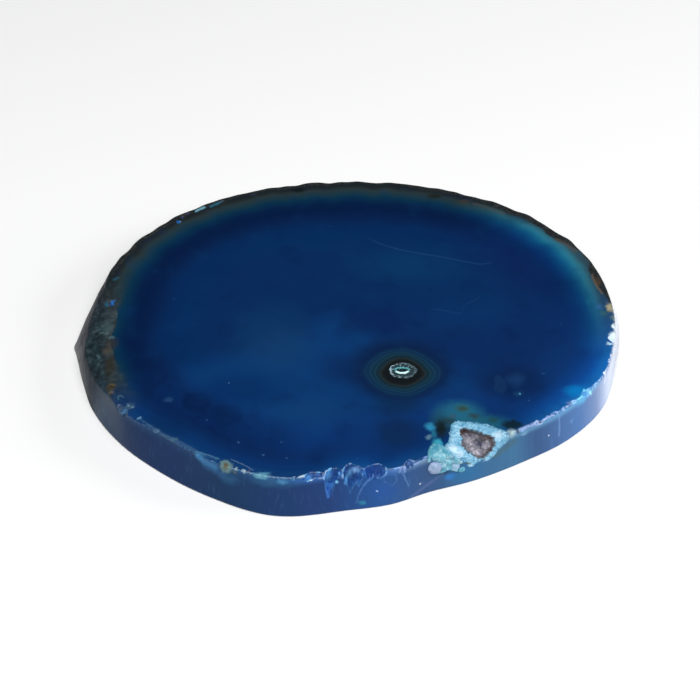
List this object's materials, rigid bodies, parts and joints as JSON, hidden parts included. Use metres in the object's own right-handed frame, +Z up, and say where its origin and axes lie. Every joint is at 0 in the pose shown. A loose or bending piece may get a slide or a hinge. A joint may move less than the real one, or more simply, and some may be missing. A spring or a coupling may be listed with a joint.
{
  "type": "agate slab",
  "caption": "Thick polished slab of blue dyed agate with natural rind, a quartz crystal hollow on its front edge and a small banded eye.",
  "frame": {"origin": "middle of the slab's footprint, on the surface it lies on", "axes": "+Z up through the thickness, +X along the slab's length, -Y towards the side with the crystal hollow"},
  "size_m": [0.2051, 0.1733, 0.0153],
  "materials": {
    "agate": "polished blue dyed agate, with natural matte rind at the left and back",
    "quartz": "small grey and pale blue quartz crystals with flat faces",
    "eye_quartz": "white and pale blue crystalline quartz, polished flush"
  },
  "bodies": {
    "root": {"agate_slab": "agate", "quartz_crust": "quartz", "eye_crust": "eye_quartz"}
  },
  "joints": []
}
